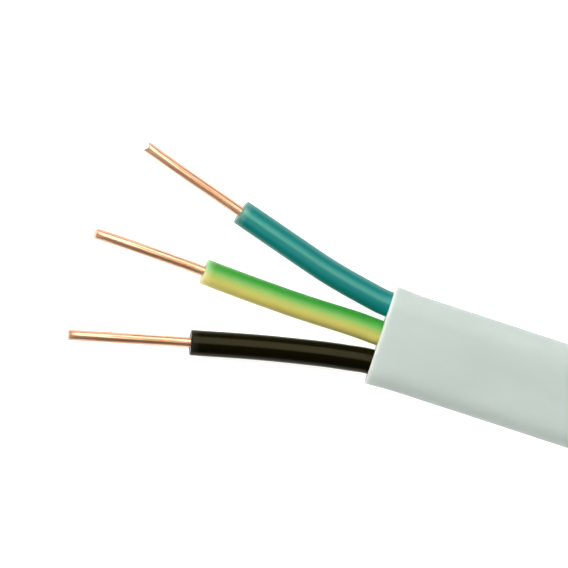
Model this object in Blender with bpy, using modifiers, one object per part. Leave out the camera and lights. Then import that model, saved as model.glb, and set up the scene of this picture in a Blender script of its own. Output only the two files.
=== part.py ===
"""Coil of flat three-core cable with a stripped end.

Metres, +Z up, standing on Z = 0. The free end of the cable lies flat along X: its cores are bared
towards -X, and towards +X the cable turns on edge and joins the outermost, lowest turn of the coil.
The origin is on the underside of the flat stretch, where a cable clip would hold it.
"""

import math

import bmesh
import bpy

# Cable section
SHEATH_WIDTH = 0.0108
SHEATH_THICKNESS = 0.0050
CORE_DIAMETER = 0.00279
CONDUCTOR_DIAMETER = 0.00113
CORE_PITCH = 0.00328
CORES_OFF_CENTRE = 0.00016

# Free end
CLIP_TO_SHEATH_END = 0.015
FLAT_STRETCH = 0.033
TWIST_STRETCH = 0.062
COIL_CENTRE_FROM_SHEATH_END = 0.118
CORE_SOCKET_DEPTH = 0.012

# Coil and its ties
COIL_MIDDLE_DIAMETER = 0.110
COIL_TURNS_ACROSS = 5
COIL_LAYERS = 3
TURN_GAP = 0.0001
TIE_COUNT = 3
TIE_WIDTH = 0.0036
TIE_THICKNESS = 0.0012
TIE_HEAD_WIDTH = 0.0056
TIE_HEAD_LENGTH = 0.0062
TIE_HEAD_HEIGHT = 0.0044
FIRST_TIE_ANGLE = math.radians(80)

# Clearances
CORE_CLEARANCE = 0.0001
TOUCHING_GAP = 0.0003

# Fineness of the faceted shapes
COIL_STEPS = 40
QUARTER_ROUND_STEPS = 2
SHEATH_ROUND_STEPS = 3
CORE_POINT_SPACING = 0.002
TWIST_POINTS = 22
CUTTER_OVERRUN = 0.001

# Each core's place across the sheath, counted in core pitches, where its insulation and its wire end,
# and how far it drifts sideways: pairs of distance from the sheath's end and drift, towards the free end.
CORES = {
    "blue": {
        "place": 1,
        "insulation": 0.0184,
        "wire": 0.0305,
        "drift": (
            (0.0, 0.0),
            (0.0025, 0.00034),
            (0.0073, 0.00132),
            (0.0111, 0.00238),
            (0.0184, 0.00451),
            (0.0257, 0.00667),
            (0.0305, 0.00815),
        ),
    },
    "green_yellow": {
        "place": 0,
        "insulation": 0.0202,
        "wire": 0.0328,
        "drift": (
            (0.0, 0.0),
            (0.0030, 0.00010),
            (0.0093, 0.00006),
            (0.0162, 0.00024),
            (0.0220, 0.00050),
            (0.0289, 0.00068),
            (0.0328, 0.00071),
        ),
    },
    "black": {
        "place": -1,
        "insulation": 0.0192,
        "wire": 0.0322,
        "drift": (
            (0.0, 0.0),
            (0.0023, -0.00032),
            (0.0056, -0.00090),
            (0.0120, -0.00228),
            (0.0192, -0.00408),
            (0.0257, -0.00574),
            (0.0322, -0.00744),
        ),
    },
}

COLOURS = {
    "sheath": (0.58, 0.66, 0.61),
    "blue": (0.02, 0.26, 0.26),
    "green_yellow": (0.22, 0.50, 0.13),
    "black": (0.03, 0.03, 0.01),
    "copper": (0.85, 0.42, 0.24),
    "nylon": (0.80, 0.80, 0.76),
}

# Worked out from the sizes above
EDGE_RADIUS = SHEATH_THICKNESS / 2
FLAT_WIDTH = SHEATH_WIDTH - SHEATH_THICKNESS
TURN_PITCH = SHEATH_THICKNESS + TURN_GAP
LAYER_PITCH = SHEATH_WIDTH + TURN_GAP
COIL_LIFT = TIE_THICKNESS + TOUCHING_GAP
SHEATH_END_X = -CLIP_TO_SHEATH_END
TURN_RADII = [
    COIL_MIDDLE_DIAMETER / 2 + (i - (COIL_TURNS_ACROSS - 1) / 2) * TURN_PITCH
    for i in range(COIL_TURNS_ACROSS)
]
LAYER_HEIGHTS = [COIL_LIFT + SHEATH_WIDTH / 2 + k * LAYER_PITCH for k in range(COIL_LAYERS)]
COIL_INNER_RADIUS = TURN_RADII[0] - EDGE_RADIUS
COIL_OUTER_RADIUS = TURN_RADII[-1] + EDGE_RADIUS
COIL_TOP = LAYER_HEIGHTS[-1] + SHEATH_WIDTH / 2
COIL_CENTRE = (SHEATH_END_X + COIL_CENTRE_FROM_SHEATH_END, -TURN_RADII[-1], 0.0)


def clear_scene():
    for obj in list(bpy.data.objects):
        bpy.data.objects.remove(obj, do_unlink=True)


def new_collection(name):
    collection = bpy.data.collections.new(name)
    bpy.context.scene.collection.children.link(collection)
    return collection


def make_material(name, colour, roughness, metallic=0.0):
    material = bpy.data.materials.new(name)
    material.use_nodes = True
    shader = material.node_tree.nodes["Principled BSDF"]
    shader.inputs["Base Color"].default_value = (*colour, 1.0)
    shader.inputs["Roughness"].default_value = roughness
    shader.inputs["Metallic"].default_value = metallic
    return material


def add_object(name, data, collection):
    obj = bpy.data.objects.new(name, data)
    collection.objects.link(obj)
    return obj


def finish(obj, material):
    obj.data.materials.clear()
    obj.data.materials.append(material)
    obj.data.shade_smooth()
    obj.data.set_sharp_from_angle(angle=math.radians(40))


def as_mesh(curve_object, collection):
    """The curve's solid as a welded mesh object of the same name, in place of the curve."""
    bpy.context.view_layer.update()
    graph = bpy.context.evaluated_depsgraph_get()
    mesh = bpy.data.meshes.new_from_object(curve_object.evaluated_get(graph))
    solid = bmesh.new()
    solid.from_mesh(mesh)
    bmesh.ops.remove_doubles(solid, verts=solid.verts, dist=1e-6)
    bmesh.ops.recalc_face_normals(solid, faces=solid.faces)
    solid.to_mesh(mesh)
    solid.free()
    name = curve_object.name
    matrix = curve_object.matrix_world.copy()
    bpy.data.objects.remove(curve_object, do_unlink=True)
    obj = add_object(name, mesh, collection)
    obj.matrix_world = matrix
    return obj


def hide_helper(obj):
    obj.hide_render = True
    obj.display_type = "WIRE"


def add_boolean(obj, cutter, operation):
    modifier = obj.modifiers.new(cutter.name, "BOOLEAN")
    modifier.operation = operation
    modifier.object = cutter
    hide_helper(cutter)


def poly_spline(curve, points, closed=False):
    spline = curve.splines.new("POLY")
    spline.points.add(len(points) - 1)
    for spline_point, place in zip(spline.points, points):
        spline_point.co = (*place, 1.0)
    spline.use_cyclic_u = closed
    return spline


def arc(centre, radius, start_degrees, end_degrees, steps):
    """Points on an arc in a plane, both ends included."""
    points = []
    for i in range(steps + 1):
        angle = math.radians(start_degrees + (end_degrees - start_degrees) * i / steps)
        points.append((centre[0] + radius * math.cos(angle), centre[1] + radius * math.sin(angle)))
    return points


def merged(points, within):
    """The outline with each pair of points that lies this close made one."""
    kept = [points[0]]
    for point in points[1:]:
        if math.dist(point, kept[-1]) > within:
            kept.append(point)
        else:
            kept[-1] = ((point[0] + kept[-1][0]) / 2, (point[1] + kept[-1][1]) / 2)
    return kept


def coil_outline():
    """Outline of the stacked turns, as (radius, height), down the outer side and back up the bore."""

    def ridge(radius, height, start, end):
        steps = QUARTER_ROUND_STEPS * round(abs(end - start) / 90)
        return arc((radius, height), EDGE_RADIUS, start, end, steps)

    half_flat = FLAT_WIDTH / 2
    inner, outer = TURN_RADII[0], TURN_RADII[-1]
    low = LAYER_HEIGHTS[0] - half_flat
    high = LAYER_HEIGHTS[-1] + half_flat
    points = []
    for height in reversed(LAYER_HEIGHTS):
        points += ridge(outer, height + half_flat, 90, 0)
        points += ridge(outer, height - half_flat, 0, -90)
    points += ridge(outer, low, -90, -180)
    for radius in reversed(TURN_RADII[1:-1]):
        points += ridge(radius, low, 0, -180)
    points += ridge(inner, low, 0, -90)
    for height in LAYER_HEIGHTS:
        points += ridge(inner, height - half_flat, -90, -180)
        points += ridge(inner, height + half_flat, 180, 90)
    points += ridge(inner, high, 90, 0)
    for radius in TURN_RADII[1:-1]:
        points += ridge(radius, high, 180, 0)
    points += ridge(outer, high, 180, 90)
    return merged(points, 1.5 * TURN_GAP)[:-1]


def make_coil(collection, material):
    outline = coil_outline()
    count = len(outline)
    mesh = bpy.data.meshes.new("coil")
    edges = [(i, (i + 1) % count) for i in range(count)]
    mesh.from_pydata([(radius, 0.0, height) for radius, height in outline], edges, [])
    coil = add_object("coil", mesh, collection)
    coil.location = COIL_CENTRE
    screw = coil.modifiers.new("turned", "SCREW")
    screw.steps = COIL_STEPS
    screw.render_steps = COIL_STEPS
    screw.use_merge_vertices = True
    screw.merge_threshold = 1e-5
    screw.use_smooth_shade = True
    mesh.materials.append(material)
    return coil


def stadium(half_flat, radius, steps):
    """Outline of the cable's section: two flats with a half round at each end."""
    right = arc((half_flat, 0.0), radius, -90, 90, steps * 2)
    left = arc((-half_flat, 0.0), radius, 90, 270, steps * 2)
    return right + left


def smooth_step(share):
    share = min(max(share, 0.0), 1.0)
    return share * share * (3 - 2 * share)


def lead_route():
    """(point, tilt) along the lead: flat on the floor, then turned on edge to meet the coil."""
    cut_radius = COIL_OUTER_RADIUS + TOUCHING_GAP
    blunt_end = SHEATH_THICKNESS / 4
    before_tangent = math.sqrt(cut_radius**2 - (COIL_OUTER_RADIUS - blunt_end) ** 2)
    twist_start = SHEATH_END_X + FLAT_STRETCH
    stations = [SHEATH_END_X]
    stations += [twist_start + TWIST_STRETCH * i / TWIST_POINTS for i in range(TWIST_POINTS + 1)]
    stations.append(COIL_CENTRE[0] - before_tangent)
    route = []
    for x in stations:
        share = smooth_step((x - twist_start) / TWIST_STRETCH)
        tilt = share * math.pi / 2
        height = EDGE_RADIUS + FLAT_WIDTH / 2 * math.sin(tilt) + COIL_LIFT * share
        route.append(((x, 0.0, height), tilt))
    return route


def make_sheath_lead(parts, helpers, material):
    section_curve = bpy.data.curves.new("sheath_section", "CURVE")
    section_points = stadium(FLAT_WIDTH / 2, EDGE_RADIUS, SHEATH_ROUND_STEPS)
    poly_spline(section_curve, [(x, y, 0.0) for x, y in section_points], closed=True)
    section = add_object("sheath_section", section_curve, helpers)

    route = lead_route()
    curve = bpy.data.curves.new("sheath_lead", "CURVE")
    curve.dimensions = "3D"
    curve.twist_mode = "Z_UP"
    curve.bevel_mode = "OBJECT"
    curve.bevel_object = section
    curve.use_fill_caps = True
    spline = poly_spline(curve, [point for point, _ in route])
    for spline_point, (_, tilt) in zip(spline.points, route):
        spline_point.tilt = tilt
    lead = as_mesh(add_object("sheath_lead", curve, parts), parts)
    bpy.data.objects.remove(section, do_unlink=True)

    bpy.ops.mesh.primitive_cylinder_add(
        vertices=4 * COIL_STEPS,
        radius=COIL_OUTER_RADIUS + TOUCHING_GAP,
        depth=4 * COIL_TOP,
        location=COIL_CENTRE,
    )
    add_boolean(lead, adopt("coil_cutter", helpers), "DIFFERENCE")
    for name, core in CORES.items():
        length = CORE_SOCKET_DEPTH + CUTTER_OVERRUN
        middle = SHEATH_END_X - CUTTER_OVERRUN + length / 2
        bpy.ops.mesh.primitive_cylinder_add(
            vertices=16,
            radius=CORE_DIAMETER / 2 + CORE_CLEARANCE,
            depth=length,
            location=(middle, core_side(core), EDGE_RADIUS),
            rotation=(0.0, math.pi / 2, 0.0),
        )
        add_boolean(lead, adopt("socket_cutter_" + name, helpers), "DIFFERENCE")
    finish(lead, material)


def adopt(name, collection):
    """Names the object that an operator just made and moves it to the collection."""
    obj = bpy.context.active_object
    obj.name = name
    for owner in list(obj.users_collection):
        owner.objects.unlink(obj)
    collection.objects.link(obj)
    return obj


def core_side(core):
    """The core's Y inside the sheath."""
    return core["place"] * CORE_PITCH + CORES_OFF_CENTRE


def drift_at(points, distance):
    """Smooth curve through the pairs, level inside the sheath and straight past the last pair."""
    if distance <= points[0][0]:
        return points[0][1]

    def slope(i, k):
        return (points[k][1] - points[i][1]) / (points[k][0] - points[i][0])

    last = len(points) - 1
    if distance >= points[last][0]:
        return points[last][1] + slope(last - 1, last) * (distance - points[last][0])
    i = max(k for k in range(last) if points[k][0] <= distance)
    start_slope = slope(i - 1, i + 1) if i > 0 else 0.0
    end_slope = slope(i, i + 2) if i + 2 <= last else slope(i, i + 1)
    length = points[i + 1][0] - points[i][0]
    share = (distance - points[i][0]) / length
    rest = 1 - share
    return (
        points[i][1] * rest * rest * (1 + 2 * share)
        + points[i + 1][1] * share * share * (3 - 2 * share)
        + start_slope * length * share * rest * rest
        - end_slope * length * share * share * rest
    )


def core_tube(name, core, diameter, start, end, sides_resolution, collection):
    """Round rod along the core from one distance to another, counted outwards from the sheath's end."""
    steps = max(2, round((end - start) / CORE_POINT_SPACING))
    points = []
    for i in range(steps + 1):
        distance = start + (end - start) * i / steps
        side = core_side(core) + drift_at(core["drift"], distance)
        points.append((SHEATH_END_X - distance, side, EDGE_RADIUS))
    curve = bpy.data.curves.new(name, "CURVE")
    curve.dimensions = "3D"
    curve.bevel_depth = diameter / 2
    curve.bevel_resolution = sides_resolution
    curve.use_fill_caps = True
    poly_spline(curve, points)
    return as_mesh(add_object(name, curve, collection), collection)


def make_core(name, core, parts, helpers, materials):
    start = CORE_CLEARANCE - CORE_SOCKET_DEPTH
    wire = core_tube(
        "conductor_" + name, core, CONDUCTOR_DIAMETER, start, core["wire"], 3, parts
    )
    insulation = core_tube(
        "insulation_" + name, core, CORE_DIAMETER, start, core["insulation"], 4, parts
    )
    bore = core_tube(
        "bore_cutter_" + name,
        core,
        CONDUCTOR_DIAMETER + 2 * CORE_CLEARANCE,
        start - CUTTER_OVERRUN,
        core["insulation"] + CUTTER_OVERRUN,
        3,
        helpers,
    )
    add_boolean(insulation, bore, "DIFFERENCE")
    finish(wire, materials["copper"])
    finish(insulation, materials[name])


def rounded_rectangle(left, right, bottom, top, radius):
    points = arc((right - radius, bottom + radius), radius, -90, 0, 4)
    points += arc((right - radius, top - radius), radius, 0, 90, 4)
    points += arc((left + radius, top - radius), radius, 90, 180, 4)
    points += arc((left + radius, bottom + radius), radius, 180, 270, 4)
    return points


def make_tie(number, parts, helpers, material):
    """Closed nylon band around the coil's section, its head on top and its underside on the floor."""
    angle = FIRST_TIE_ANGLE + 2 * math.pi * (number - 1) / TIE_COUNT
    left = COIL_INNER_RADIUS - TOUCHING_GAP
    right = COIL_OUTER_RADIUS + TOUCHING_GAP
    top = COIL_TOP + TOUCHING_GAP
    curve = bpy.data.curves.new(f"tie_{number}", "CURVE")
    curve.dimensions = "2D"
    curve.fill_mode = "BOTH"
    curve.extrude = TIE_WIDTH / 2
    for grow in (TIE_THICKNESS, 0.0):
        outline = rounded_rectangle(
            left - grow, right + grow, TIE_THICKNESS - grow, top + grow, EDGE_RADIUS + grow
        )
        poly_spline(curve, [(x, y, 0.0) for x, y in outline], closed=True)
    band = add_object(f"tie_{number}", curve, parts)
    band.rotation_euler = (math.pi / 2, 0.0, angle)
    band.location = COIL_CENTRE
    tie = as_mesh(band, parts)

    bpy.ops.mesh.primitive_cube_add(size=1.0)
    head = adopt(f"tie_head_{number}", helpers)
    head.dimensions = (TIE_HEAD_LENGTH, TIE_HEAD_WIDTH, TIE_HEAD_HEIGHT)
    bpy.ops.object.transform_apply(location=False, rotation=False, scale=True)
    middle = COIL_MIDDLE_DIAMETER / 2
    head.rotation_euler = (0.0, 0.0, angle)
    head.location = (
        COIL_CENTRE[0] + middle * math.cos(angle),
        COIL_CENTRE[1] + middle * math.sin(angle),
        top + TIE_THICKNESS / 2 + TIE_HEAD_HEIGHT / 2,
    )
    add_boolean(tie, head, "UNION")
    finish(tie, material)


def main():
    clear_scene()
    parts = new_collection("flat_cable_coil")
    helpers = new_collection("cutters")
    materials = {
        "sheath": make_material("sheath_pvc", COLOURS["sheath"], 0.45),
        "blue": make_material("blue_pvc", COLOURS["blue"], 0.35),
        "green_yellow": make_material("green_yellow_pvc", COLOURS["green_yellow"], 0.35),
        "black": make_material("black_pvc", COLOURS["black"], 0.35),
        "copper": make_material("copper", COLOURS["copper"], 0.3, 1.0),
        "nylon": make_material("nylon", COLOURS["nylon"], 0.5),
    }
    make_coil(parts, materials["sheath"])
    make_sheath_lead(parts, helpers, materials["sheath"])
    for name, core in CORES.items():
        make_core(name, core, parts, helpers, materials)
    for number in range(1, TIE_COUNT + 1):
        make_tie(number, parts, helpers, materials["nylon"])


main()
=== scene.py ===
"""Looks of a coil of flat three-core cable, its stripped end in front of the camera."""

import logging
import math
from collections.abc import Sequence
from dataclasses import dataclass, field, replace
from enum import Enum

import bpy
import numpy as np
from bpy.types import Material, Node, NodeSocket, NodeTree, Object
from mathutils import Matrix, Vector
from mathutils.geometry import delaunay_2d_cdt


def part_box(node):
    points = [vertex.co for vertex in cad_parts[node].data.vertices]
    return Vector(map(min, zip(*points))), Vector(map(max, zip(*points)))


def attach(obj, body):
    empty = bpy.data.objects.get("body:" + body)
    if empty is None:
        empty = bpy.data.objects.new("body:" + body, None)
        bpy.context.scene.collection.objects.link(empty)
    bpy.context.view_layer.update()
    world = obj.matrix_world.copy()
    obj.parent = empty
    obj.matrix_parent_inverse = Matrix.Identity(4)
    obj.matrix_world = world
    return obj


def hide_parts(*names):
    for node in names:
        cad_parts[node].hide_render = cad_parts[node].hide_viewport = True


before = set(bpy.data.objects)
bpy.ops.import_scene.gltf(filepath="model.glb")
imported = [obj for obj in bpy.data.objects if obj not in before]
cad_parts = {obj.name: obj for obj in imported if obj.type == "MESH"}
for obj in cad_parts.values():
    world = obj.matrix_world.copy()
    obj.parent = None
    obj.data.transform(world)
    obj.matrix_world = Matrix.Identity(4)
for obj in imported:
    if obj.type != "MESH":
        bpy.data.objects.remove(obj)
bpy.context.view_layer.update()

LOG = logging.getLogger("flat_cable_coil")
BODY = "root"

MM = 0.001
PHOTO_SIDE = 568
PLACE = "cable_place"
# Mask of the cut faces, where the PVC materials paint a highlight for the cut edge catching the
# light.
CUT = "cut_highlight_share"
Point = tuple[float, float, float]


def srgb(colour: str) -> tuple[float, float, float, float]:
    """Turns an sRGB hex colour to linear.

    Args:
        colour: Six hex digits after a hash mark.

    Returns:
        Linear red, green and blue, and an alpha of 1.
    """
    channels = [int(colour[i : i + 2], 16) / 255 for i in (1, 3, 5)]
    linear = [c / 12.92 if c <= 0.04045 else ((c + 0.055) / 1.055) ** 2.4 for c in channels]
    return (*linear, 1.0)


def smooth_step(share: float) -> float:
    """Eases a share from 0 to 1, level at both ends."""
    share = min(max(share, 0.0), 1.0)
    return share * share * (3 - 2 * share)


def feed(tree: NodeTree, node: Node, inputs: dict | Sequence) -> None:
    """Sets or links a node's inputs.

    Args:
        tree: The node tree that holds the node.
        node: The node.
        inputs: Values, or output sockets to link from, by input name or number or in order.
    """
    for name, value in inputs.items() if isinstance(inputs, dict) else enumerate(inputs):
        if isinstance(value, NodeSocket):
            tree.links.new(value, node.inputs[name])
        else:
            node.inputs[name].default_value = value


def add_node(
    tree: NodeTree,
    kind: str,
    inputs: dict | Sequence = (),
    output: int | str = 0,
    **settings: object,
) -> NodeSocket:
    """Adds a shader node with its settings and links.

    Args:
        tree: The node tree that gets the node.
        kind: The node's Blender type name after "ShaderNode".
        inputs: Values, or output sockets to link from, by input name or number or in order.
        output: Which of its outputs is wanted.
        **settings: Properties of the node itself.

    Returns:
        The wanted output socket.
    """
    node = tree.nodes.new(f"ShaderNode{kind}")
    for name, value in settings.items():
        setattr(node, name, value)
    feed(tree, node, inputs)
    return node.outputs[output]


def new_material(name: str) -> tuple[Material, NodeTree, Node]:
    """Makes a material that holds only a Principled shader.

    Args:
        name: The material's name.

    Returns:
        The material, its node tree and its shader node.
    """
    material = bpy.data.materials.new(name)
    material.use_nodes = True
    tree = material.node_tree
    return material, tree, tree.nodes["Principled BSDF"]


def cable_pattern(tree: NodeTree, cloud_mm: tuple[float, float], detail: float) -> NodeSocket:
    """Lays a cloudy pattern out along the straightened cable, so that it follows every bend.

    Args:
        tree: The material's node tree.
        cloud_mm: Size of a cloud across the cable and along it.
        detail: How many finer patterns lie on it.

    Returns:
        The pattern's socket, around a half and between 0 and 1.
    """
    across, along = (1 / size for size in cloud_mm)
    place = add_node(tree, "Attribute", output="Vector", attribute_name=PLACE)
    scaled = add_node(
        tree, "VectorMath", (place, (across, across, along)), operation="MULTIPLY"
    )
    return add_node(tree, "TexNoise", {"Vector": scaled, "Scale": 1.0, "Detail": detail})


def new_object(name: str, data: bpy.types.ID) -> Object:
    """Puts a mesh, a light or a camera into the scene.

    Args:
        name: The object's name.
        data: What it shows.

    Returns:
        The new object.
    """
    made = bpy.data.objects.new(name, data)
    bpy.context.scene.collection.objects.link(made)
    return made


class Slot(Enum):
    """The record's material slots."""

    SHEATH = "sheath_pvc"
    BLUE = "blue_pvc"
    GREEN_YELLOW = "green_yellow_pvc"
    BLACK = "black_pvc"
    COPPER = "copper"
    NYLON = "nylon"


class CoreColour(Enum):
    """The three cores, named as their CAD nodes end."""

    BLUE = "blue"
    GREEN_YELLOW = "green_yellow"
    BLACK = "black"


@dataclass(frozen=True)
class ExtrudedPVC:
    """Plasticised PVC drawn through a die: a satin skin with faint lines along the cable.

    The eye sees a soft broad highlight, smoother and rougher in patches where it was handled, a
    colour that drifts a little and a faint orange peel. Where a blade cut it, a paler colour is
    mixed in: a painted highlight for the cut edge catching the light. Real die lines are about
    0.03 mm wide, too fine to show here, so they are drawn four times as wide. Each pair of
    millimetres is a pattern's size across the cable and along it.
    """

    name: str
    colour: str
    roughness: float
    smoother: float = 0.04
    rougher: float = 0.05
    handled_mm: tuple[float, float] = (2.0, 6.67)
    line_mm: tuple[float, float] = (0.12, 18.0)
    line_height_mm: float = 0.004
    peel_mm: tuple[float, float] = (0.7, 0.7)
    peel_height_mm: float = 0.003
    tint_drift: float = 0.03
    drift_mm: tuple[float, float] = (4.0, 8.33)
    contrast: tuple[float, float] = (0.3, 0.7)
    # Painted highlight: a paler colour mixed in on cut faces, for the cut edge catching the light.
    cut_edge_highlight: float = 0.12
    cut_highlight_colour: str = "#f4f4ec"
    ior: float = 1.53
    gloss: float = 0.5
    gloss_colour: str = "#ffffff"
    translucency: float = 0.0
    translucency_mm: float = 1.8

    def base_colour(self, tree: NodeTree) -> NodeSocket:
        """Lightens and darkens the plain colour a little along the cable.

        Args:
            tree: The material's node tree.

        Returns:
            The colour socket.
        """
        drift = cable_pattern(tree, self.drift_mm, 3.0)
        dark, light = 1 - self.tint_drift, 1 + self.tint_drift
        value = add_node(tree, "MapRange", (drift, *self.contrast, dark, light))
        return add_node(tree, "HueSaturation", {"Color": srgb(self.colour), "Value": value})

    def relief(self, tree: NodeTree) -> NodeSocket:
        """Die lines along the cable, with a faint orange peel under them.

        Args:
            tree: The material's node tree.

        Returns:
            The normal socket.
        """
        normal = None
        for size, height in (
            (self.peel_mm, self.peel_height_mm),
            (self.line_mm, self.line_height_mm),
        ):
            bump = {"Height": cable_pattern(tree, size, 2.0), "Distance": height * MM}
            normal = add_node(tree, "Bump", bump | ({"Normal": normal} if normal else {}))
        return normal

    def build(self) -> Material:
        """Makes the material.

        Returns:
            The finished material.
        """
        material, tree, shader = new_material(self.name)
        # Mixes the painted cut-edge highlight in where the cut mask is 1.
        cut = add_node(tree, "Attribute", output="Fac", attribute_name=CUT)
        share = add_node(tree, "Math", (cut, self.cut_edge_highlight), operation="MULTIPLY")
        mixed = {0: share, 6: self.base_colour(tree), 7: srgb(self.cut_highlight_colour)}
        patches = cable_pattern(tree, self.handled_mm, 4.0)
        ends = self.roughness - self.smoother, self.roughness + self.rougher
        inputs = {
            "Base Color": add_node(tree, "Mix", mixed, output=2, data_type="RGBA"),
            "Roughness": add_node(tree, "MapRange", (patches, *self.contrast, *ends)),
            "Normal": self.relief(tree),
            "IOR": self.ior,
            "Specular IOR Level": self.gloss,
            "Specular Tint": srgb(self.gloss_colour),
            "Subsurface Weight": self.translucency,
        }
        if self.translucency:
            inputs["Subsurface Radius"] = (1.0, 1.0, 1.0)
            inputs["Subsurface Scale"] = self.translucency_mm * MM
        feed(tree, shader, inputs)
        return material


@dataclass(frozen=True)
class TwoColourPVC(ExtrudedPVC):
    """Earth core insulation, two colours extruded side by side.

    The eye sees a soft seam that wavers a little along the core.
    """

    second_colour: str = "#d1cb7c"
    seam_mm: float = 0.02
    seam_softness_mm: float = 0.8
    waver_mm: float = 0.16
    wave_mm: tuple[float, float] = (math.inf, 3.33)

    def base_colour(self, tree: NodeTree) -> NodeSocket:
        """Splits the core lengthways into its two colours.

        Args:
            tree: The material's node tree.

        Returns:
            The colour socket.
        """
        place = add_node(tree, "Attribute", output="Vector", attribute_name=PLACE)
        across = add_node(tree, "SeparateXYZ", (place,))
        waver = cable_pattern(tree, self.wave_mm, 2.0)
        line = (waver, self.waver_mm, self.seam_mm - self.waver_mm / 2)
        seam = add_node(tree, "Math", line, operation="MULTIPLY_ADD")
        past = add_node(tree, "Math", (across, seam), operation="SUBTRACT")
        band = (past, -self.seam_softness_mm, self.seam_softness_mm)
        share = add_node(tree, "MapRange", band, interpolation_type="SMOOTHSTEP")
        mixed = {0: share, 6: srgb(self.second_colour), 7: srgb(self.colour)}
        return add_node(tree, "Mix", mixed, output=2, data_type="RGBA")


@dataclass(frozen=True)
class DrawnCopper:
    """Soft copper wire pulled through dies: bright metal with fine lines along it.

    The eye sees a pale pink-orange streak between brown sides, broken by duller streaks and
    hairlines. Real hairlines are about 0.01 mm wide, too fine to show here, so they are drawn five
    times as wide. Each pair of millimetres is a pattern's size across the wire and along it.
    """

    name: str = "drawn_copper"
    colour: str = "#f9d5bc"
    dull_colour: str = "#c27c4e"
    streak_mm: tuple[float, float] = (0.17, 9.0)
    streak_contrast: tuple[float, float] = (0.48, 0.7)
    roughness: float = 0.4
    smoother: float = 0.05
    rougher: float = 0.12
    tarnish_mm: tuple[float, float] = (1.11, 2.86)
    line_mm: tuple[float, float] = (0.05, 6.0)
    line_height_mm: float = 0.002

    def build(self) -> Material:
        """Makes the material.

        Returns:
            The finished material.
        """
        material, tree, shader = new_material(self.name)
        streaks = cable_pattern(tree, self.streak_mm, 2.0)
        dullness = add_node(tree, "MapRange", (streaks, *self.streak_contrast))
        mixed = {0: dullness, 6: srgb(self.colour), 7: srgb(self.dull_colour)}
        tarnish = cable_pattern(tree, self.tarnish_mm, 4.0)
        ends = {"To Min": self.roughness - self.smoother, "To Max": self.roughness + self.rougher}
        lines = cable_pattern(tree, self.line_mm, 3.0)
        bump = {"Height": lines, "Distance": self.line_height_mm * MM}
        inputs = {
            "Base Color": add_node(tree, "Mix", mixed, output=2, data_type="RGBA"),
            "Roughness": add_node(tree, "MapRange", {"Value": tarnish} | ends),
            "Normal": add_node(tree, "Bump", bump),
            "Metallic": 1.0,
        }
        feed(tree, shader, inputs)
        return material


@dataclass(frozen=True)
class MouldedNylon:
    """Natural nylon 6.6, injection moulded.

    The eye sees a milky cream plastic, cloudy inside, slightly see-through at its thin edges, with
    the fine grain of a spark-eroded mould. Such a grain is about 0.05 mm, too fine to show here, so
    it is drawn ten times as wide.
    """

    name: str = "moulded_nylon"
    colour: str = "#eceae0"
    cloudy_colour: str = "#dedbcb"
    cloud_mm: float = 4.0
    roughness: float = 0.42
    smoother: float = 0.06
    rougher: float = 0.08
    grain_mm: float = 0.5
    grain_height_mm: float = 0.006
    ior: float = 1.53
    translucency: float = 0.35
    translucency_mm: float = 1.2
    warmth: Point = (1.0, 0.95, 0.85)

    def build(self) -> Material:
        # Each PVC's cut faces are paled by a painted highlight, by the share given or its default.
        """Makes the material.

        Returns:
            The finished material.
        """
        material, tree, shader = new_material(self.name)
        spot = add_node(tree, "TexCoord", output="Object")
        grain, cloud = (
            add_node(tree, "TexNoise", {"Vector": spot, "Scale": 1 / (size * MM), "Detail": detail})
            for size, detail in ((self.grain_mm, 2.0), (self.cloud_mm, 3.0))
        )
        mixed = {0: cloud, 6: srgb(self.colour), 7: srgb(self.cloudy_colour)}
        ends = {"To Min": self.roughness - self.smoother, "To Max": self.roughness + self.rougher}
        bump = {"Height": grain, "Distance": self.grain_height_mm * MM}
        inputs = {
            "Base Color": add_node(tree, "Mix", mixed, output=2, data_type="RGBA"),
            "Roughness": add_node(tree, "MapRange", {"Value": grain} | ends),
            "Normal": add_node(tree, "Bump", bump),
            "IOR": self.ior,
            "Subsurface Weight": self.translucency,
            "Subsurface Radius": self.warmth,
            "Subsurface Scale": self.translucency_mm * MM,
        }
        feed(tree, shader, inputs)
        return material


@dataclass
class Route:
    """A line through space, with the cable's width and thickness directions at each point."""

    points: np.ndarray
    across: np.ndarray
    through: np.ndarray
    forward: np.ndarray
    along: np.ndarray

    @classmethod
    def follow(cls, points: Sequence, across: Sequence) -> "Route":
        """Works out the square directions along a line.

        Args:
            points: Places in metres, in order.
            across: The wished width direction at each of them.

        Returns:
            The route.
        """
        places = np.asarray(points, float)
        gaps = np.linalg.norm(np.diff(places, axis=0), axis=1)
        along = np.concatenate([[0.0], np.cumsum(gaps)])
        forward = np.gradient(places, along, axis=0)
        forward /= np.linalg.norm(forward, axis=1, keepdims=True)
        wished = np.asarray(across, float)
        square = wished - forward * (wished * forward).sum(1, keepdims=True)
        square /= np.linalg.norm(square, axis=1, keepdims=True)
        return cls(places, square, np.cross(forward, square), forward, along)

    @property
    def length(self) -> float:
        """The line's length in metres."""
        return float(self.along[-1])

    def at(self, distance: float) -> tuple[np.ndarray, np.ndarray, np.ndarray, np.ndarray]:
        """Reads the line at a distance from its start, straight on past its ends.

        Args:
            distance: Metres from the first point.

        Returns:
            The point, and the across, through and forward directions.
        """

        def read(values: np.ndarray) -> np.ndarray:
            """Value of each coordinate at the distance."""
            return np.array([np.interp(distance, self.along, values[:, k]) for k in range(3)])

        point, forward = read(self.points), read(self.forward)
        beyond = distance - min(max(distance, 0.0), self.length)
        return point + forward * beyond, read(self.across), read(self.through), forward


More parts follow.
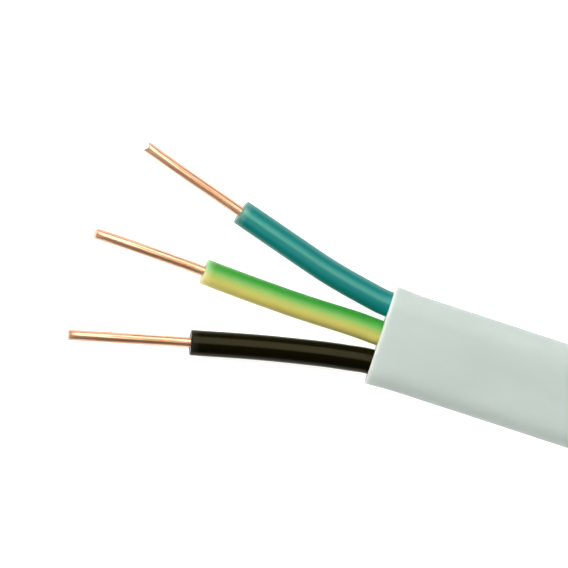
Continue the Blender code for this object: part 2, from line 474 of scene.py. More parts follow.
@dataclass
class Skin:
    """Faces built ring by ring, with each vertex's place in the straightened cable."""

    corners: list[np.ndarray] = field(default_factory=list)
    places: list[Point] = field(default_factory=list)
    cuts: list[float] = field(default_factory=list)
    faces: list[tuple[int, ...]] = field(default_factory=list)

    def ring(
        self,
        route: Route,
        distance: float,
        outline: np.ndarray,
        reach: np.ndarray | None = None,
        cut: float = 0.0,
    ) -> range:
        """Adds a ring of vertices, square to the route unless it is told otherwise.

        Args:
            route: The line that the ring stands on.
            distance: Metres along it.
            outline: Pairs across and through the cable, in metres, anticlockwise looking back.
            reach: How much further along each vertex lies, in metres.
            cut: 1 where a blade cut the surface, where the materials paint a highlight, and 0
                elsewhere.

        Returns:
            The numbers of the new vertices.
        """
        point, across, through, forward = route.at(distance)
        further = np.zeros(len(outline)) if reach is None else reach
        first = len(self.corners)
        for (a, b), extra in zip(outline, further):
            self.corners.append(point + across * a + through * b + forward * extra)
            self.places.append((a / MM, b / MM, (distance + extra) / MM))
            self.cuts.append(cut)
        return range(first, len(self.corners))

    def bridge(self, first: range, second: range, inward: bool = False) -> None:
        """Joins two rings with quads.

        Args:
            first: The ring nearer the route's start.
            second: The next ring.
            inward: True where the faces look at the rings' middle.
        """
        count = len(first)
        for j in range(count):
            k = (j + 1) % count
            quad = (first[j], first[k], second[k], second[j])
            self.faces.append(quad[::-1] if inward else quad)

    def cap(self, ring: range, forward: bool) -> None:
        """Closes a ring with one face that looks forward or back along the route."""
        self.faces.append(tuple(ring) if forward else tuple(reversed(ring)))

    def tube(self, rings: Sequence[range], capped: bool = True) -> None:
        """Joins rings to a tube.

        Args:
            rings: From the route's start to its end.
            capped: Whether its first and last ring are closed.
        """
        for first, second in zip(rings, rings[1:]):
            self.bridge(first, second)
        if capped:
            self.cap(rings[0], forward=False)
            self.cap(rings[-1], forward=True)

    def pierced_cap(self, ring: range, holes: Sequence[range], forward: bool) -> None:
        """Closes a ring with well-shaped triangles that leave its holes open.

        Args:
            ring: The outer ring.
            holes: The rings of the holes.
            forward: True where the face looks forward along the route.
        """
        numbers, owners, edges = [], [], []
        for owner, loop in enumerate((ring, *holes)):
            first, count = len(numbers), len(loop)
            numbers += loop
            owners += [owner] * count
            edges += [(first + i, first + (i + 1) % count) for i in range(count)]
        flat = [Vector(self.places[number][:2]) for number in numbers]
        _, _, triangles, sources, *_ = delaunay_2d_cdt(flat, edges, [], 0, 1e-6)
        for triangle in triangles:
            found = [sources[i][0] for i in triangle]
            touched = {owners[i] for i in found}
            if len(touched) > 1 or touched == {0}:
                face = [numbers[i] for i in found]
                self.faces.append(tuple(face if forward else reversed(face)))

    def make(
        self,
        name: str,
        material: Material,
        slot: Slot,
        *nodes: str,
        sharp_degrees: float = 50,
    ) -> Object:
        """Makes the piece, hangs it on the part's body and hides the CAD nodes that it replaces.

        Args:
            name: The piece's name.
            material: Its finish.
            slot: The record's material slot; not used.
            *nodes: CAD nodes that it replaces.
            sharp_degrees: Edges that turn by more than this stay sharp.

        Returns:
            The piece.
        """
        mesh = bpy.data.meshes.new(name)
        mesh.from_pydata([tuple(c) for c in self.corners], [], self.faces)
        place = mesh.attributes.new(PLACE, "FLOAT_VECTOR", "POINT")
        place.data.foreach_set("vector", np.asarray(self.places, np.float32).ravel())
        cut = mesh.attributes.new(CUT, "FLOAT", "POINT")
        cut.data.foreach_set("value", np.asarray(self.cuts, np.float32))
        mesh.materials.append(material)
        mesh.validate()
        mesh.shade_smooth()
        mesh.set_sharp_from_angle(angle=math.radians(sharp_degrees))
        piece = new_object(name, mesh)
        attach(piece, BODY)
        if nodes:
            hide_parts(*nodes)
        LOG.info("%s: %d faces", name, len(mesh.polygons))
        return piece


def round_outline(radius: float, sides: int, side: float = 0.0) -> np.ndarray:
    """Points round a circle across the cable, so far to the side of its middle line."""
    angles = np.arange(sides) * 2 * math.pi / sides
    return np.stack([side + radius * np.cos(angles), radius * np.sin(angles)], 1)


def rounded_rectangle(length: float, width: float, edge: float, steps: int = 4) -> np.ndarray:
    """Points round a rectangle with rounded corners, anticlockwise.

    Args:
        length: Its first side, in metres.
        width: Its second side.
        edge: Radius of its corners.
        steps: Faces on each corner.

    Returns:
        One row for each point.
    """
    rows = []
    for a, b, start in ((1, 1, 0), (-1, 1, 90), (-1, -1, 180), (1, -1, 270)):
        for i in range(steps + 1):
            angle = math.radians(start + 90 * i / steps)
            x = a * (length / 2 - edge) + edge * math.cos(angle)
            y = b * (width / 2 - edge) + edge * math.sin(angle)
            rows.append((x, y))
    return np.array(rows)


def quarter_round(radius: float, steps: int) -> list[tuple[float, float]]:
    """How far back from an end, and in from its side, the points of its rounding lie."""
    turns = [math.pi / 2 * step / steps for step in range(steps + 1)]
    return [(radius * (1 - math.sin(a)), radius * (1 - math.cos(a))) for a in turns]


@dataclass(frozen=True)
class CableSection:
    """Sizes of the flat cable across its length, in metres."""

    width: float = 0.0108
    thickness: float = 0.0050
    core_diameter: float = 0.00279
    wire_diameter: float = 0.00113
    core_pitch: float = 0.00328
    off_centre: float = 0.00016
    core_fit: float = 0.00004
    wire_fit: float = 0.00002
    round_steps: int = 12
    flat_steps: int = 4

    @property
    def edge_radius(self) -> float:
        """Radius of the rounded narrow sides."""
        return self.thickness / 2

    @property
    def flat_width(self) -> float:
        """Width of each flat side."""
        return self.width - self.thickness

    def core_side(self, place: int) -> float:
        """How far off the middle line a core lies, at -1, 0 or 1 pitches."""
        return place * self.core_pitch + self.off_centre

    def outline(self, inset: float) -> np.ndarray:
        """The sheath's outline: two flats with a half round at each end.

        Args:
            inset: How far inside the real surface, in metres.

        Returns:
            One row for each point, anticlockwise.
        """
        radius, half = self.edge_radius - inset, self.flat_width / 2
        rows = []
        for side in (1, -1):
            for i in range(self.round_steps + 1):
                angle = math.pi * (i / self.round_steps - 0.5)
                x, y = half + radius * math.cos(angle), radius * math.sin(angle)
                rows.append((side * x, side * y))
            for i in range(1, self.flat_steps):
                rows.append((side * half * (1 - 2 * i / self.flat_steps), side * radius))
        return np.array(rows)


@dataclass(frozen=True)
class Winding:
    """How the cable lies: a flat lead, then three layers of five turns wound on edge.

    The lowest layer goes inwards, the middle one outwards and the top one inwards. A turn shifts
    to the next ring within a shift zone, and climbs to the next layer within a climb zone. Low and
    high are the corners of the CAD coil's box. The sheath is shorter than the cable by the bared
    cores.
    """

    section: CableSection
    low: Vector
    high: Vector
    cable_length: float = 5.0
    bared_length: float = 0.0328
    flat_stretch: float = 0.033
    twist_stretch: float = 0.062
    clip_to_sheath_end: float = 0.015
    turns_across: int = 5
    turn_gap: float = 0.0001
    tie_thickness: float = 0.0012
    touching_gap: float = 0.0003
    shift_degrees: float = 60
    climb_degrees: float = 70
    step_degrees: float = 4
    lead_step: float = 0.002

    @property
    def lift(self) -> float:
        """Height of the coil's underside, on the ties."""
        return self.tie_thickness + self.touching_gap

    @property
    def sheath_end_x(self) -> float:
        """X of the square-cut end."""
        return -self.clip_to_sheath_end

    @property
    def pitch(self) -> float:
        """Distance from one ring of turns to the next."""
        return self.section.thickness + self.turn_gap

    @property
    def radii(self) -> list[float]:
        """Radii of the rings of turns, inner first, from the CAD coil's box."""
        outer = (self.high.x - self.low.x) / 2 - self.section.edge_radius
        return [outer - i * self.pitch for i in reversed(range(self.turns_across))]

    @property
    def centre(self) -> tuple[float, float]:
        """X and Y of the coil's axis."""
        return (self.low.x + self.high.x) / 2, (self.low.y + self.high.y) / 2

    def events(self) -> list[tuple[float, float, float, float]]:
        """Where the turns shift and climb.

        Returns:
            Start and span in degrees from the lead's tangent, radial shift and climb in metres.
        """
        rise, shifts = self.section.width + self.turn_gap, self.turns_across - 1
        inwards = (self.shift_degrees, -self.pitch, 0.0, shifts)
        outwards = (self.shift_degrees, self.pitch, 0.0, shifts)
        upwards = (self.climb_degrees, 0.0, rise, 1)
        found, zone, last = [], 360, 0
        for span, shift, climb, times in (inwards, upwards, outwards, upwards, inwards):
            zone -= span
            for _ in range(times):
                start = last + (zone - last) % 360
                found.append((start, span, shift, climb))
                last = start + span
        return found

    def lead(self) -> tuple[list[Point], list[Point]]:
        """Lays the lead flat, then twists it on edge on its way to the coil.

        Returns:
            Its points and its width directions, from the sheath's end on.
        """
        section = self.section
        twist_start = self.sheath_end_x + self.flat_stretch
        count = round((self.centre[0] - self.sheath_end_x) / self.lead_step)
        points, across = [], []
        for i in range(count):
            x = self.sheath_end_x + (self.centre[0] - self.sheath_end_x) * i / count
            share = smooth_step((x - twist_start) / self.twist_stretch)
            tilt = share * math.pi / 2
            rise = section.flat_width / 2 * math.sin(tilt) + self.lift * share
            points.append((x, 0.0, section.edge_radius + rise))
            across.append((0.0, math.cos(tilt), math.sin(tilt)))
        return points, across

    def route(self) -> Route:
        """The whole sheath's route, cut to its length.

        Returns:
            The route, from the stripped end to the cut end in the bore.
        """
        points, across = self.lead()
        x, y = self.centre
        events, outermost = self.events(), self.radii[-1]
        length = self.cable_length - self.bared_length
        laid = sum(math.dist(a, b) for a, b in zip(points, points[1:]))
        turned = 0.0
        while laid < length:
            radius, height = outermost, self.lift + self.section.width / 2
            for start, span, shift, climb in events:
                share = smooth_step((turned - start) / span)
                radius += shift * share
                height += climb * share
            angle = math.radians(turned)
            points.append((x + radius * math.sin(angle), y + radius * math.cos(angle), height))
            across.append((0.0, 0.0, 1.0))
            laid += math.dist(points[-1], points[-2])
            turned += self.step_degrees
        LOG.info("sheath ends %.0f degrees round, %.3f m long", turned, laid)
        return Route.follow(points, across)


@dataclass(frozen=True)
class Sheath:
    """The outer sheath over the whole length, with a socket for each core at both ends.

    The shears pressed it a little wider at its cut ends.
    """

    section: CableSection
    route: Route
    finish: Material
    edge_rounding: float = 0.00016
    edge_steps: int = 4
    socket_depth: float = 0.003
    socket_sides: int = 40
    flare: float = 0.00016
    flare_length: float = 0.0035
    end_stations: tuple[float, ...] = (0.0005, 0.0010, 0.0015, 0.0025)

    def outline(self, back: float, inset: float) -> np.ndarray:
        """The sheath's outline at a distance back from its nearer end, wider where it was cut."""
        wider = self.flare * (1 - smooth_step(back / self.flare_length))
        return self.section.outline(inset) * (1 + wider / (self.section.width / 2), 1.0)

    def end(self, skin: Skin, ring: range, distance: float, inner: float, forward: bool) -> None:
        """Closes one end of the sheath with a face that has a socket for each core.

        Args:
            skin: The mesh under way.
            ring: The rim of the end.
            distance: Where the end lies along the route.
            inner: Where the sockets' floors lie.
            forward: True at the route's last end.
        """
        radius = self.section.core_diameter / 2 + self.section.core_fit
        mouths = []
        for place in (1, 0, -1):
            outline = round_outline(radius, self.socket_sides, self.section.core_side(place))
            # The socket walls take the painted cut-edge highlight.
            mouth = skin.ring(self.route, distance, outline, cut=1.0)
            floor = skin.ring(self.route, inner, outline, cut=1.0)
            if forward:
                skin.bridge(floor, mouth, inward=True)
            else:
                skin.bridge(mouth, floor, inward=True)
            skin.cap(floor, forward)
            mouths.append(mouth)
        skin.pierced_cap(ring, mouths, forward)

    def build(self) -> Object:
        """Makes the sheath.

        Returns:
            The piece.
        """
        skin, length, near = Skin(), self.route.length, self.end_stations
        rounding = quarter_round(self.edge_rounding, self.edge_steps)
        body = [d for d in self.route.along if near[-1] < d < length - near[-1]]
        # The rounded rims at both ends take the painted cut-edge highlight.
        stations = [(d, inset, 1.0) for d, inset in reversed(rounding)]
        stations += [(d, 0.0, 0.0) for d in (*near, *body, *(length - d for d in reversed(near)))]
        stations += [(length - d, inset, 1.0) for d, inset in rounding]
        rings = []
        for distance, inset, cut in stations:
            outline = self.outline(min(distance, length - distance), inset)
            rings.append(skin.ring(self.route, distance, outline, cut=cut))
        skin.tube(rings, capped=False)
        self.end(skin, rings[0], 0.0, self.socket_depth, forward=False)
        self.end(skin, rings[-1], length, length - self.socket_depth, forward=True)
        return skin.make("sheath", self.finish, Slot.SHEATH, "coil", "sheath_lead")


@dataclass(frozen=True)
class Tip:
    """What the pliers left at a wire's tip: a slanted cut, a groove across it and a rounded burr.

    Burr steps give how many burrs back from the tip, and the share of the wire's radius there. The
    groove's floor lies at a share of its depth, and is a share of the wire's radius wide.
    """

    slant: float = 0.0
    notch: float = 0.0
    burr: float = 0.00003
    burr_steps: tuple[tuple[float, float], ...] = ((2.0, 1.0), (0.8, 0.97), (0.0, 0.86))
    floor_depth: float = 0.6
    floor_width: float = 0.3


@dataclass(frozen=True)
class Core:
    """One core: round insulation with a solid copper wire in it.

    The insulation's cut end has a rounded lip, and its bore is broken by a share of that lip.
    """

    section: CableSection
    name: str
    slot: Slot
    insulation_finish: Material
    wire_finish: Material
    sides: int = 40
    wire_sides: int = 28
    lip: float = 0.00016
    lip_steps: int = 4
    bore_break: float = 0.3
    slant: float = 0.13
    bore_depth: float = 0.0030
    station_step: float = 0.0008

    def stations(self, start: float, end: float) -> list[float]:
        """Distances between two ends, evenly spaced, without the ends."""
        count = max(2, math.ceil((end - start) / self.station_step))
        return [start + (end - start) * i / count for i in range(1, count)]

    def insulation(self, route: Route, start: float, end: float, *nodes: str) -> Object:
        """Makes the tube of insulation, its cut end open round the wire.

        Args:
            route: The core's line.
            start: Where it begins, inside the sheath.
            end: Where it was cut.
            *nodes: CAD nodes that it replaces.

        Returns:
            The piece.
        """
        outer = self.section.core_diameter / 2
        bore = self.section.wire_diameter / 2 + self.section.wire_fit
        skin = Skin()
        straight = end - self.lip - self.slant * outer
        walls = [(start, outer)]
        walls += [(d, outer) for d in self.stations(start, straight)]
        square = len(walls)
        rounding = quarter_round(self.lip, self.lip_steps)
        walls += [(end - back, outer - inset) for back, inset in rounding]
        broken = self.bore_break * self.lip
        walls += [(end, bore + broken), (end - broken, bore), (end - self.bore_depth, bore)]
        rings = []
        for number, (distance, radius) in enumerate(walls):
            outline = round_outline(radius, self.sides)
            lean = self.slant if square <= number < len(walls) - 1 else 0.0
            # From the lip on, the rings take the painted cut-edge highlight.
            cut = 1.0 if number >= square else 0.0
            rings.append(skin.ring(route, distance, outline, lean * outline[:, 1], cut))
        skin.tube(rings)
        return skin.make(f"core_{self.name}", self.insulation_finish, self.slot, *nodes)

    def wire(self, route: Route, start: float, end: float, tip: Tip, *nodes: str) -> Object:
        """Makes the copper wire, its tip cut off by pliers.

        Args:
            route: The core's line.
            start: Where it begins, inside the insulation.
            end: Its tip.
            tip: What the pliers left.
            *nodes: CAD nodes that it replaces.

        Returns:
            The piece.
        """
        radius = self.section.wire_diameter / 2
        plain = round_outline(radius, self.wire_sides)
        side = np.abs(plain[:, 0]) / radius
        reach = tip.slant * plain[:, 1] + tip.notch * (side - 1)
        worked = abs(tip.slant) * radius + tip.notch + tip.burr_steps[0][0] * tip.burr
        skin = Skin()
        rings = [skin.ring(route, start, plain)]
        rings += [skin.ring(route, d, plain) for d in self.stations(start, end - worked)]
        for burrs, scale in tip.burr_steps:
            rings.append(skin.ring(route, end - burrs * tip.burr, plain * scale, reach))
        floor, width = end - tip.floor_depth * tip.notch, tip.floor_width
        rings.append(skin.ring(route, floor, plain * width, reach * width))
        skin.tube(rings)
        return skin.make(f"wire_{self.name}", self.wire_finish, Slot.COPPER, *nodes)


@dataclass(frozen=True)
class Fan:
    """Where one core goes outside the sheath.

    Distances count outwards from the sheath's end, and drifts are to the side, all in metres.
    """

    place: int
    insulation_end: float
    wire_end: float
    tip: Tip
    distances: tuple[float, ...]
    drifts: tuple[float, ...]

    def drift(self, distance: float) -> float:
        """Smooth curve through the drifts, level inside the sheath.

        Args:
            distance: Metres outwards from the sheath's end.

        Returns:
            The drift in metres.
        """
        if distance <= 0:
            return 0.0
        along, aside = np.array(self.distances), np.array(self.drifts)
        inner_slopes = (aside[2:] - aside[:-2]) / (along[2:] - along[:-2])
        last_slope = (aside[-1] - aside[-2]) / (along[-1] - along[-2])
        slopes = [0.0, *inner_slopes, last_slope]
        if distance >= along[-1]:
            return aside[-1] + last_slope * (distance - along[-1])
        i = np.searchsorted(along, distance, side="right") - 1
        length = along[i + 1] - along[i]
        share = (distance - along[i]) / length
        rest = 1 - share
        return (
            aside[i] * rest * rest * (1 + 2 * share)
            + aside[i + 1] * share * share * (3 - 2 * share)
            + slopes[i] * length * share * rest * rest
            - slopes[i + 1] * length * share * share * rest
        )


FANS = {
    CoreColour.BLUE: Fan(
        place=1,
        insulation_end=0.0186,
        wire_end=0.0306,
        tip=Tip(slant=0.1, notch=0.00030),
        distances=(0.0, 0.0025, 0.0073, 0.0111, 0.0184, 0.0257, 0.0305),
        drifts=(0.0, 0.00034, 0.00132, 0.00238, 0.00451, 0.00667, 0.00815),
    ),
    CoreColour.GREEN_YELLOW: Fan(
        place=0,
        insulation_end=0.0204,
        wire_end=0.0329,
        tip=Tip(slant=0.3),
        distances=(0.0, 0.0030, 0.0093, 0.0162, 0.0220, 0.0289, 0.0328),
        drifts=(0.0, 0.00010, 0.00006, 0.00024, 0.00050, 0.00068, 0.00071),
    ),
    CoreColour.BLACK: Fan(
        place=-1,
        insulation_end=0.0194,
        wire_end=0.0323,
        tip=Tip(slant=0.2, notch=0.00004),
        distances=(0.0, 0.0023, 0.0056, 0.0120, 0.0192, 0.0257, 0.0322),
        drifts=(0.0, -0.00032, -0.00090, -0.00228, -0.00408, -0.00574, -0.00744),
    ),
}


@dataclass(frozen=True)
class StrippedEnd:
    """The free end: three cores that fan out of the sheath, each with its wire bared."""

    section: CableSection
    winding: Winding
    cores: dict[CoreColour, Core]
    inside: float = 0.0029
    route_step: float = 0.0005
    wire_clearance: float = 0.0001

    def core_route(self, colour: CoreColour) -> Route:
        """A core's line, from inside the sheath to past the wire's tip.

        Args:
            colour: Which core.

        Returns:
            The route.
        """
        points, step, fan = [], self.route_step, FANS[colour]
        count = math.ceil((self.inside + fan.wire_end) / step)
        for i in range(count + 2):
            distance = -self.inside + i * step
            side = self.section.core_side(fan.place) + fan.drift(distance)
            points.append((self.winding.sheath_end_x - distance, side, self.section.edge_radius))
        return Route.follow(points, [(0.0, 1.0, 0.0)] * len(points))

    def length_to(self, route: Route, distance: float) -> float:
        """Distance along the route at which it is so far out from the sheath's end."""
        reach = self.winding.sheath_end_x - route.points[:, 0]
        return float(np.interp(distance, reach, route.along))

    def build(self) -> None:
        """Makes the three cores, each with its insulation and its wire."""
        for colour, core in self.cores.items():
            route, fan = self.core_route(colour), FANS[colour]
            cut = self.length_to(route, fan.insulation_end)
            tip = self.length_to(route, fan.wire_end)
            start = cut - core.bore_depth + self.wire_clearance
            core.insulation(route, 0.0, cut, f"insulation_{colour.value}")
            core.wire(route, start, tip, fan.tip, f"conductor_{colour.value}")


@dataclass(frozen=True)
class CutEnd:
    """The other end of the cable, cut off square in the bore of the coil."""

    section: CableSection
    route: Route
    cores: dict[CoreColour, Core]
    depth: float = 0.0028
    stand_out: float = 0.00005
    wire_depth: float = 0.0004
    wire_stand_out: float = 0.00003

    def build(self) -> list[Object]:
        """Makes the ends of the three cores, flush with the sheath's cut face.

        Returns:
            The six pieces.
        """
        pieces = []
        for place, core in zip((1, 0, -1), self.cores.values()):
            point, across, _, forward = self.route.at(self.route.length)
            middle = point + across * self.section.core_side(place)
            start = middle - forward * self.depth
            end = middle + forward * self.stand_out
            route = Route.follow([start, (start + end) / 2, end], [across] * 3)
            tip = route.length + self.wire_stand_out
            pieces.append(core.insulation(route, 0.0, route.length))
            pieces.append(core.wire(route, self.wire_depth, tip, Tip()))
        return pieces


@dataclass(frozen=True)
class CableTie:
    """A nylon cable tie round the coil's section, its head on top and its tail cut short.

    The tail is a share of its thickness at the roots of its teeth and at its cut end, and a tooth's
    crest lies at a share of the pitch.
    """

    number: int
    angle: float
    section: CableSection
    winding: Winding
    finish: Material
    width: float = 0.0036
    head_width: float = 0.0056
    head_length: float = 0.0062
    head_height: float = 0.0044
    head_rounding: float = 0.0005
    head_edge_share: float = 0.3
    slot_length: float = 0.0020
    slot_width: float = 0.0042
    slot_depth: float = 0.0012
    slot_rounding: float = 0.0002
    slot_clearance: float = 0.00005
    head_taper: float = 0.93
    tail_length: float = 0.0019
    tail_thickness: float = 0.0010
    tail_end: float = 0.8
    tooth_pitch: float = 0.0006
    tooth_root: float = 0.75
    tooth_crest: float = 0.85
    tooth_sharp_degrees: float = 25
    teeth: int = 3
    edge_rounding: float = 0.00025
    edge_steps: int = 3
    corner_steps: int = 8

    @property
    def thickness(self) -> float:
        """Thickness of the strap."""
        return self.winding.tie_thickness

    def spot(self, radius: float, height: float) -> Point:
        """The point at a radius from the coil's axis and at a height, on the tie's side."""
        x, y = self.winding.centre
        return x + radius * math.cos(self.angle), y + radius * math.sin(self.angle), height

    def loop(self) -> Route:
        """The strap's middle line round the coil's section.

        Returns:
            The route, from the middle of the top, outwards and down.
        """
        radii, gap, half = self.winding.radii, self.winding.touching_gap, self.thickness / 2
        low, high = self.winding.low, self.winding.high
        left = radii[0] - self.section.edge_radius - gap - half
        right = radii[-1] + self.section.edge_radius + gap + half
        bottom, top = low.z - gap - half, high.z + gap + half
        bend = self.section.edge_radius + half
        middle = (left + right) / 2
        corners = rounded_rectangle(right - left, top - bottom, bend, self.corner_steps)[::-1]
        corners = np.roll(corners, self.corner_steps + 1, axis=0)
        flat = [(middle, top), *(corners + (middle, (bottom + top) / 2)), (middle, top)]
        round_axis = (-math.sin(self.angle), math.cos(self.angle), 0.0)
        return Route.follow([self.spot(r, z) for r, z in flat], [round_axis] * len(flat))

    def upright(self, foot: float, height: float) -> Route:
        """A short line straight up from the strap on the coil's top.

        Args:
            foot: How far above the strap's underside it starts, in metres.
            height: Its length.

        Returns:
            The route, its across direction away from the coil's axis.
        """
        middle = (self.winding.radii[0] + self.winding.radii[-1]) / 2
        base = self.winding.high.z + self.winding.touching_gap + foot
        outwards = (math.cos(self.angle), math.sin(self.angle), 0.0)
        line = [self.spot(middle, base), self.spot(middle, base + height)]
        return Route.follow(line, [outwards] * 2)

    def strap(self) -> Object:
        """Makes the closed strap.

        Returns:
            The piece.
        """
        route, skin = self.loop(), Skin()
        sizes = self.width, self.thickness, self.edge_rounding, self.edge_steps
        rings = [skin.ring(route, d, rounded_rectangle(*sizes)) for d in route.along[:-1]]
        skin.tube([*rings, rings[0]], capped=False)
        node = f"tie_{self.number}"
        return skin.make(f"tie_strap_{self.number}", self.finish, Slot.NYLON, node)

    def head(self) -> Object:
        """Makes the head: a rounded block with the slot that the cut tail stands in.

        Returns:
            The piece.
        """
        skin, rings, edge, top = Skin(), [], self.head_rounding, self.head_height
        soft = self.head_edge_share * edge
        route = self.upright(self.thickness / 2, top)
        foot = [(0.0, edge), (soft, soft), (edge, 0.0)]
        shape = [(height, inset, 1.0) for height, inset in foot]
        shape += [(top - height, inset, self.head_taper) for height, inset in reversed(foot)]
        for height, inset, scale in shape:
            sides = (side * scale - 2 * inset for side in (self.head_length, self.head_width))
            rings.append(skin.ring(route, height, rounded_rectangle(*sides, edge)))
        slot = rounded_rectangle(self.slot_length, self.slot_width, self.slot_rounding)
        rings += [skin.ring(route, height, slot) for height in (top, top - self.slot_depth)]
        skin.tube(rings)
        return skin.make(f"tie_head_{self.number}", self.finish, Slot.NYLON)

    def tail(self) -> Object:
        """Makes the stub of the tail in the head's slot, with its ratchet teeth.

        Returns:
            The piece.
        """
        slot_floor = self.thickness / 2 + self.head_height - self.slot_depth
        route = self.upright(slot_floor + self.slot_clearance, self.tail_length)
        skin, rings, wide, half = Skin(), [], self.width / 2, self.tail_thickness / 2
        shape = []
        for i in range(self.teeth):
            shape += [(i, self.tooth_root), (i + self.tooth_crest, 1.0)]
        for teeth, share in (*shape, (self.teeth, self.tail_end)):
            front = half * (2 * share - 1)
            sides = np.array(((front, -wide), (front, wide), (-half, wide), (-half, -wide)))
            rings.append(skin.ring(route, teeth * self.tooth_pitch, sides))
        skin.tube(rings)
        name, sharp = f"tie_tail_{self.number}", self.tooth_sharp_degrees
        return skin.make(name, self.finish, Slot.NYLON, sharp_degrees=sharp)

    def build(self) -> list[Object]:
        """Makes the strap, the head and the tail."""
        return [self.strap(), self.head(), self.tail()]


@dataclass(frozen=True)
class Softbox:
    """A soft light: where it hangs, as seen in the picture, and what it gives.

    It turns clockwise from the picture's top and leans from overhead, and its length runs that way.
    """

    name: str
    turn_degrees: float
    lean_degrees: float
    distance: float
    width: float
    length: float
    watts: float
    colour: str = "#ffffff"
    reflected: bool = True
    shades: bool = True


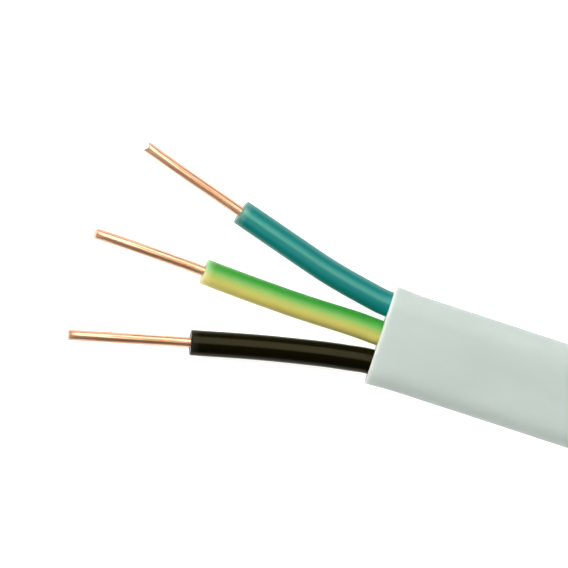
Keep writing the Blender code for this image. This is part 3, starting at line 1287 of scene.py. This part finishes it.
@dataclass(frozen=True)
class Studio:
    """A white table that glows a little, under soft lights, seen from straight above.

    The shading comes from the picture's upper left and the highlights from its top, so each light
    either shades or shows in the gloss.
    """

    section: CableSection
    winding: Winding
    pixel_size: float = 0.000109
    slope_degrees: float = 18.1
    sheath_end_pixel: tuple[float, float] = (380.0, 334.6)
    lens_mm: float = 200.0
    sensor_mm: float = 36.0
    table_side: float = 8.0
    table_colour: str = "#c2c2c2"
    table_glow: float = 0.6
    table_roughness: float = 0.7
    room_light: float = 0.10
    room_colour: str = "#ffd9a8"
    contrast: str = "Medium High Contrast"
    # Name, turn and lean in degrees, distance, width and length in metres, watts and tint.
    lamps: tuple[Softbox, ...] = (
        Softbox("strip_light", 4, 32, 0.6, 0.28, 0.72, 2.3, "#fffef8", shades=False),
        Softbox("window_light", -44, 29, 0.6, 0.75, 0.75, 5.5, "#fffefa", reflected=False),
        Softbox("room_side_light", 115, 62, 1.2, 0.8, 0.8, 1.8, reflected=False),
        Softbox("edge_light", 236, 42, 0.9, 0.36, 0.36, 0.55, shades=False),
    )

    def image_directions(self) -> tuple[Vector, Vector]:
        """The picture's right and up directions on the table, turned with the cable's slope."""
        turn = Matrix.Rotation(math.radians(self.slope_degrees), 3, "Z")
        return turn @ Vector((1, 0, 0)), turn @ Vector((0, 1, 0))

    def camera(self) -> None:
        """Places the camera straight above, turned so that the cable slopes down to the right."""
        right, up = self.image_directions()
        across = (PHOTO_SIDE / 2 - self.sheath_end_pixel[0]) * self.pixel_size
        upward = (self.sheath_end_pixel[1] - PHOTO_SIDE / 2) * self.pixel_size
        aim = Vector((self.winding.sheath_end_x, 0.0, self.section.edge_radius))
        aim += right * across + up * upward
        data = bpy.data.cameras.new("camera")
        data.lens = self.lens_mm
        data.sensor_width = self.sensor_mm
        data.clip_start = 0.01
        distance = PHOTO_SIDE * self.pixel_size * self.lens_mm / self.sensor_mm
        camera = new_object("camera", data)
        camera.location = aim + Vector((0, 0, distance))
        camera.rotation_euler = (0.0, 0.0, math.radians(self.slope_degrees))
        bpy.context.scene.camera = camera

    def softbox(self, lamp: Softbox) -> None:
        """Hangs a soft light that faces the stripped end.

        Args:
            lamp: Its sizes, place and power.
        """
        right, up = self.image_directions()
        lean, turn = math.radians(lamp.lean_degrees), math.radians(lamp.turn_degrees)
        level = up * math.cos(turn) + right * math.sin(turn)
        away = level * math.sin(lean) + Vector((0, 0, math.cos(lean)))
        data = bpy.data.lights.new(lamp.name, "AREA")
        data.shape = "RECTANGLE"
        data.size, data.size_y = lamp.width, lamp.length
        data.energy = lamp.watts
        data.color = srgb(lamp.colour)[:3]
        light = new_object(lamp.name, data)
        light.location = Vector((self.winding.sheath_end_x, 0.0, 0.0)) + away * lamp.distance
        light.rotation_mode = "QUATERNION"
        light.rotation_quaternion = away.to_track_quat("Z", "Y")
        light.visible_camera = False
        light.visible_glossy = lamp.reflected
        light.visible_diffuse = lamp.shades

    def table(self) -> None:
        """Lays the table top, white acrylic that glows a little, so no shadow greys it."""
        material, tree, shader = new_material("white_light_table")
        inputs = {
            "Base Color": srgb(self.table_colour),
            "Roughness": self.table_roughness,
            "Emission Color": srgb("#ffffff"),
            "Emission Strength": self.table_glow,
        }
        feed(tree, shader, inputs)
        half = self.table_side / 2
        corners = [(-half, -half, 0), (half, -half, 0), (half, half, 0), (-half, half, 0)]
        mesh = bpy.data.meshes.new("table_top")
        mesh.from_pydata(corners, [], [(0, 1, 2, 3)])
        mesh.materials.append(material)
        new_object("table_top", mesh)

    def build(self) -> None:
        """Makes the camera, table, lights and surroundings."""
        self.camera()
        self.table()
        for lamp in self.lamps:
            self.softbox(lamp)
        world = bpy.data.worlds.new("dim_room")
        world.use_nodes = True
        background = world.node_tree.nodes["Background"]
        room = {"Color": srgb(self.room_colour), "Strength": self.room_light}
        feed(world.node_tree, background, room)
        scene = bpy.context.scene
        scene.world = world
        scene.view_settings.view_transform = "Standard"
        scene.view_settings.look = self.contrast


SHEATH_PVC = ExtrudedPVC(
    "sheath_pvc", "#bfcbca", 0.5, cut_edge_highlight=0.2, gloss=0.2, translucency=1.0
)
CORE_PVC = {
    CoreColour.BLUE: (
        Slot.BLUE,
        ExtrudedPVC("blue_pvc", "#047b7f", 0.36, gloss=0.75, gloss_colour="#d6ffd0"),
    ),
    CoreColour.GREEN_YELLOW: (
        Slot.GREEN_YELLOW,
        TwoColourPVC(
            "green_yellow_pvc", "#4ba544", 0.42, cut_edge_highlight=0.2, gloss=0.45, translucency=1.0
        ),
    ),
    CoreColour.BLACK: (
        Slot.BLACK,
        ExtrudedPVC(
            "black_pvc", "#121106", 0.24, cut_edge_highlight=0.02, gloss=0.155, gloss_colour="#fff2c4"
        ),
    ),
}
CUT_BORE_DEPTH = 0.0026
TIES = (1, 2, 3)


def main() -> None:
    """Builds the studio and the cable, piece by piece."""
    logging.basicConfig(level=logging.INFO, format="%(name)s: %(message)s")
    section = CableSection()
    winding = Winding(section, *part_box("coil"))
    Studio(section, winding).build()

    route = winding.route()
    sheath = Sheath(section, route, SHEATH_PVC.build()).build()

    copper = DrawnCopper().build()
    cores, cut_cores = {}, {}
    for colour, (slot, finish) in CORE_PVC.items():
        core = Core(section, colour.value, slot, finish.build(), copper)
        cores[colour] = core
        cut_cores[colour] = replace(
            core, name=f"{colour.value}_cut", slant=0.0, bore_depth=CUT_BORE_DEPTH
        )
    StrippedEnd(section, winding, cores).build()
    on_cable = CutEnd(section, route, cut_cores).build()

    nylon = MouldedNylon().build()
    for number in TIES:
        low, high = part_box(f"tie_{number}")
        middle = (low + high) / 2
        angle = math.atan2(middle.y - winding.centre[1], middle.x - winding.centre[0])
        on_cable += CableTie(number, angle, section, winding, nylon).build()


if __name__ == "__main__":
    main()
